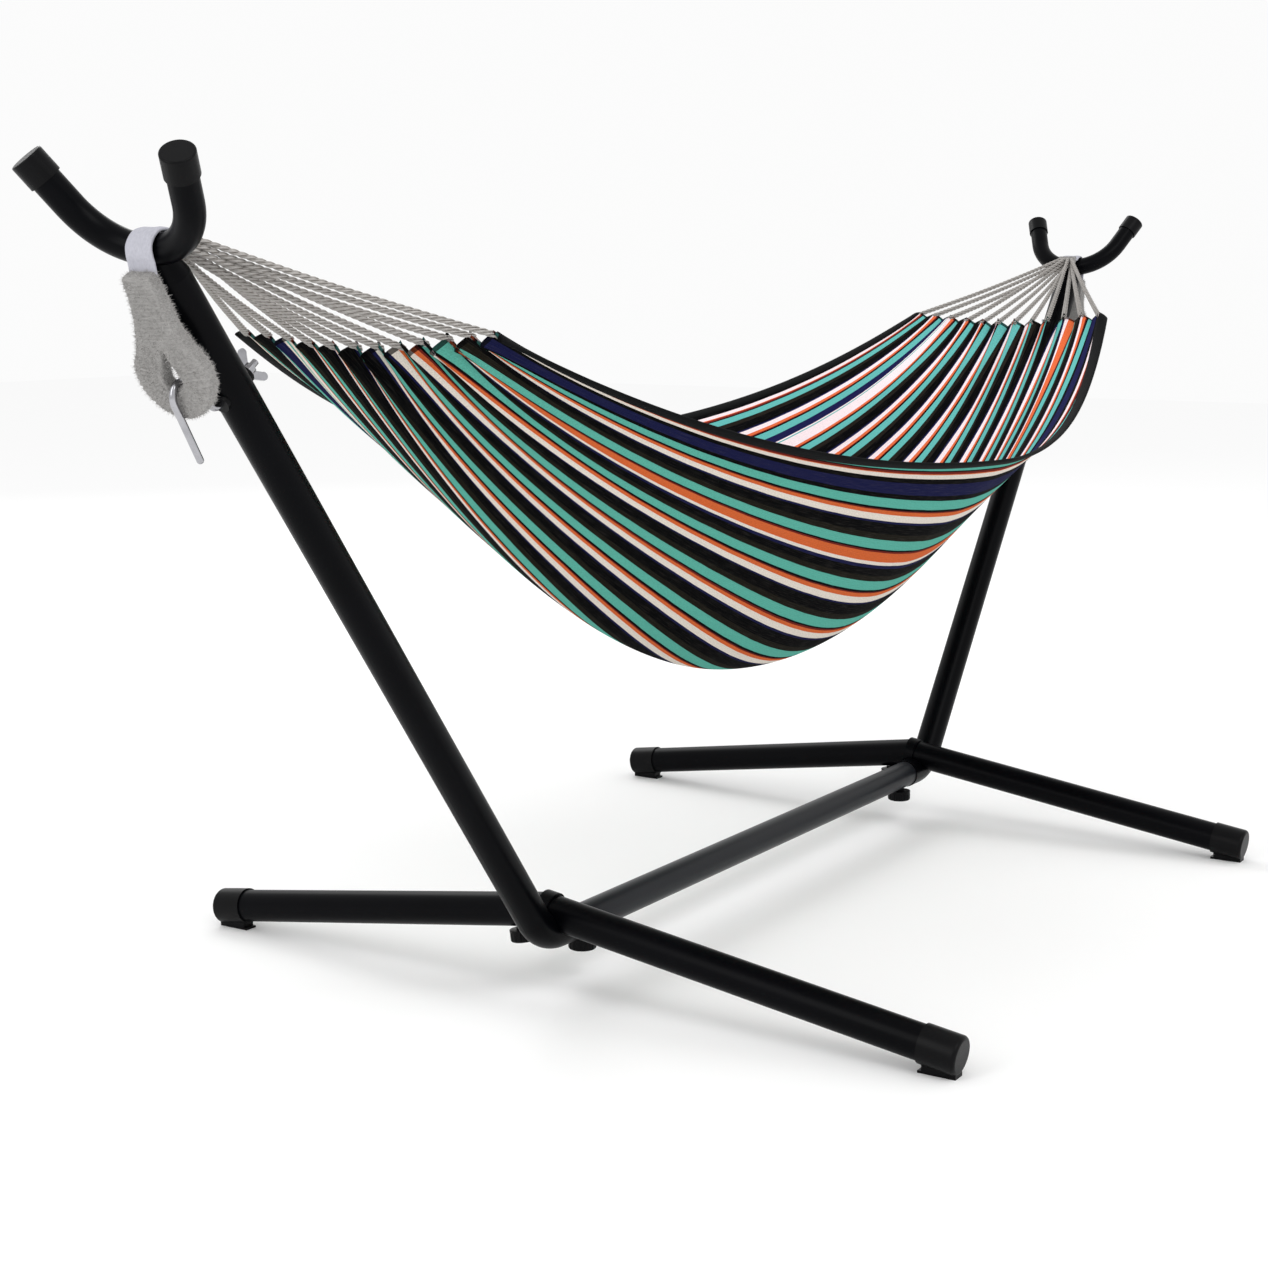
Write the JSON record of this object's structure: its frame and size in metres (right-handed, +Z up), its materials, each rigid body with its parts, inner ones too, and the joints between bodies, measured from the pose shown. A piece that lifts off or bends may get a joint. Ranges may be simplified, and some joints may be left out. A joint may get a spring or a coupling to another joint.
{
  "type": "hammock on stand",
  "caption": "Striped cloth sling hammock hung by gathered cords from U-shaped saddles on two leaning steel-tube posts, which a low beam joins between two splayed cross legs.",
  "frame": {"origin": "centre of the bounding box, on the floor", "axes": "+X along the hammock, +Y across it towards the legs' knobs (the back), +Z up"},
  "size_m": [2.7118, 1.1637, 1.0627],
  "materials": {
    "frame_paint": "satin black powder coat",
    "beam_paint": "satin black powder coat",
    "black_plastic": "moulded black plastic",
    "plated_steel": "bright zinc or chrome plate",
    "rope": "off-white cotton rope",
    "cloth": "woven cotton, striped lengthwise in teal, black, navy, orange and cream"
  },
  "bodies": {
    "frame": {"beam": "beam_paint", "left_hub": "frame_paint", "left_leg_spigot": "frame_paint", "left_front_leg": "frame_paint", "left_back_leg": "frame_paint", "left_front_foot_cap": "black_plastic", "left_back_foot_cap": "black_plastic", "left_upright": "frame_paint", "left_fork": "frame_paint", "left_fork_caps": "black_plastic", "left_knob_nuts": "plated_steel", "left_hook_bolt": "plated_steel", "left_hook_spacers": "black_plastic", "left_hook_loop": "rope", "right_hub": "frame_paint", "right_leg_spigot": "frame_paint", "right_front_leg": "frame_paint", "right_back_leg": "frame_paint", "right_front_foot_cap": "black_plastic", "right_back_foot_cap": "black_plastic", "right_upright": "frame_paint", "right_fork": "frame_paint", "right_fork_caps": "black_plastic", "right_knob_nuts": "plated_steel", "right_hook_bolt": "plated_steel", "right_hook_spacers": "black_plastic", "right_hook_loop": "rope"},
    "hammock": {"bed": "cloth", "left_cords": "rope", "right_cords": "rope"},
    "left_beam_knob": {"left_beam_knob": "black_plastic"},
    "left_leg_knob": {"left_leg_knob": "black_plastic"},
    "left_wing_nut": {"left_wing_nut": "plated_steel"},
    "right_beam_knob": {"right_beam_knob": "black_plastic"},
    "right_leg_knob": {"right_leg_knob": "black_plastic"},
    "right_wing_nut": {"right_wing_nut": "plated_steel"}
  },
  "joints": [
    {"name": "hammock_swing", "type": "hinge", "parent": "frame", "child": "hammock", "pos_m": [0, 0, 0.97], "axis": [1, 0, 0], "range_deg": [-30, 30]},
    {"name": "left_beam_knob_turn", "type": "hinge", "parent": "frame", "child": "left_beam_knob", "pos_m": [-0.496, 0, 0.061], "axis": [0, 0, 1], "continuous": true},
    {"name": "left_wing_nut_turn", "type": "hinge", "parent": "frame", "child": "left_wing_nut", "pos_m": [-1.16007, 0, 0.81698], "axis": [-0.7902, 0, -0.6129], "continuous": true},
    {"name": "right_beam_knob_turn", "type": "hinge", "parent": "frame", "child": "right_beam_knob", "pos_m": [0.496, 0, 0.061], "axis": [0, 0, 1], "continuous": true},
    {"name": "right_wing_nut_turn", "type": "hinge", "parent": "frame", "child": "right_wing_nut", "pos_m": [1.16007, 0, 0.81698], "axis": [0.7902, 0, -0.6129], "continuous": true},
    {"name": "left_leg_knob_turn", "type": "hinge", "parent": "frame", "child": "left_leg_knob", "pos_m": [-0.566, 0.04727, 0.08245], "axis": [0, 0.1464, 0.9892], "continuous": true},
    {"name": "right_leg_knob_turn", "type": "hinge", "parent": "frame", "child": "right_leg_knob", "pos_m": [0.566, 0.04727, 0.08245], "axis": [0, 0.1464, 0.9892], "continuous": true}
  ]
}
